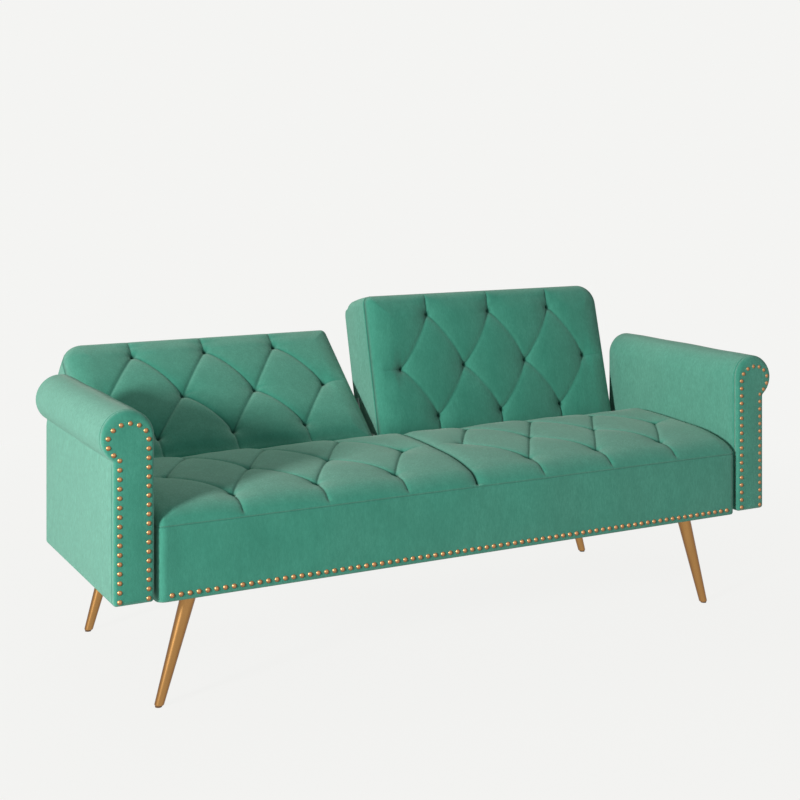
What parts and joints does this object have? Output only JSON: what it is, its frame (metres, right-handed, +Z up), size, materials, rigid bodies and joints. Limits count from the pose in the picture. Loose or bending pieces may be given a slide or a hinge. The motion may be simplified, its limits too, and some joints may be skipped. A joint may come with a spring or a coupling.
{
  "type": "sofa bed",
  "caption": "Tufted velvet sofa bed with rolled arms, nailhead trim, splayed metal legs and a split back whose halves recline by themselves to lie flat.",
  "frame": {"origin": "on the floor, under the middle of the sofa's bounding box as shown, with one back reclined", "axes": "+X to the right of someone facing the sofa, +Y towards the back, +Z up"},
  "size_m": [1.7806, 0.8992, 0.7883],
  "materials": {
    "green_velvet": "short-pile velvet with a soft mottled sheen",
    "copper_nail": "polished rose copper",
    "gold_metal": "satin gold plating",
    "glide_plastic": "matte black",
    "rubber_pad": "matte black",
    "dust_cloth": "thin black non-woven cloth",
    "deck_board": "board wrapped in the green cover cloth",
    "felt": "grey felt",
    "foam": "open-cell foam",
    "webbing": "woven strap",
    "timber": "planed softwood",
    "spring_steel": "oiled wire",
    "zinc_steel": "zinc plated"
  },
  "bodies": {
    "base": {"arm_bolts": "zinc_steel", "arm_spacers": "zinc_steel", "bracket_bolts": "zinc_steel", "centre_bracket_screws": "zinc_steel", "centre_front_rail": "timber", "centre_hinge_bracket": "zinc_steel", "centre_rear_rail": "timber", "dust_cover": "dust_cloth", "foot_glides": "glide_plastic", "front_left_leg": "gold_metal", "front_rail": "timber", "front_right_leg": "gold_metal", "hinge_pins": "zinc_steel", "left_arm_cover": "green_velvet", "left_arm_facing": "green_velvet", "left_arm_foam": "foam", "left_arm_frame": "timber", "left_arm_nails": "copper_nail", "left_hinge_bracket": "zinc_steel", "left_side_rail": "timber", "leg_blocks": "timber", "leg_screws": "zinc_steel", "pawl_pins": "zinc_steel", "pawl_springs": "zinc_steel", "rear_deck": "deck_board", "rear_left_leg": "gold_metal", "rear_rail": "timber", "rear_right_leg": "gold_metal", "rest_pads": "rubber_pad", "right_arm_cover": "green_velvet", "right_arm_facing": "green_velvet", "right_arm_foam": "foam", "right_arm_frame": "timber", "right_arm_nails": "copper_nail", "right_hinge_bracket": "zinc_steel", "right_side_rail": "timber", "seat_cover": "green_velvet", "seat_foam": "foam", "seat_nails": "copper_nail", "seat_rear_rail": "timber", "seat_springs": "spring_steel", "spring_clips": "spring_steel", "spring_pad": "felt"},
    "left_back": {"left_back_cover": "green_velvet", "left_back_foam": "foam", "left_back_frame": "timber", "left_back_inner_plate": "zinc_steel", "left_back_outer_plate": "zinc_steel", "left_back_screws": "zinc_steel", "left_back_straps": "webbing"},
    "right_back": {"right_back_cover": "green_velvet", "right_back_foam": "foam", "right_back_frame": "timber", "right_back_inner_plate": "zinc_steel", "right_back_outer_plate": "zinc_steel", "right_back_screws": "zinc_steel", "right_back_straps": "webbing"},
    "left_pawl": {"left_pawl": "zinc_steel"},
    "right_pawl": {"right_pawl": "zinc_steel"}
  },
  "joints": [
    {"name": "left_back_recline", "type": "hinge", "parent": "base", "child": "left_back", "pos_m": [0, 0.099, 0.402], "axis": [-1, 0, 0], "range_deg": [-36.1, 39.4]},
    {"name": "right_back_recline", "type": "hinge", "parent": "base", "child": "right_back", "pos_m": [0, 0.099, 0.402], "axis": [-1, 0, 0], "range_deg": [0, 75.5]},
    {"name": "left_pawl_turn", "type": "hinge", "parent": "base", "child": "left_pawl", "pos_m": [0, 0.071, 0.34], "axis": [1, 0, 0], "range_deg": [0, 10]},
    {"name": "right_pawl_turn", "type": "hinge", "parent": "base", "child": "right_pawl", "pos_m": [0, 0.071, 0.34], "axis": [1, 0, 0], "range_deg": [0, 10]}
  ]
}
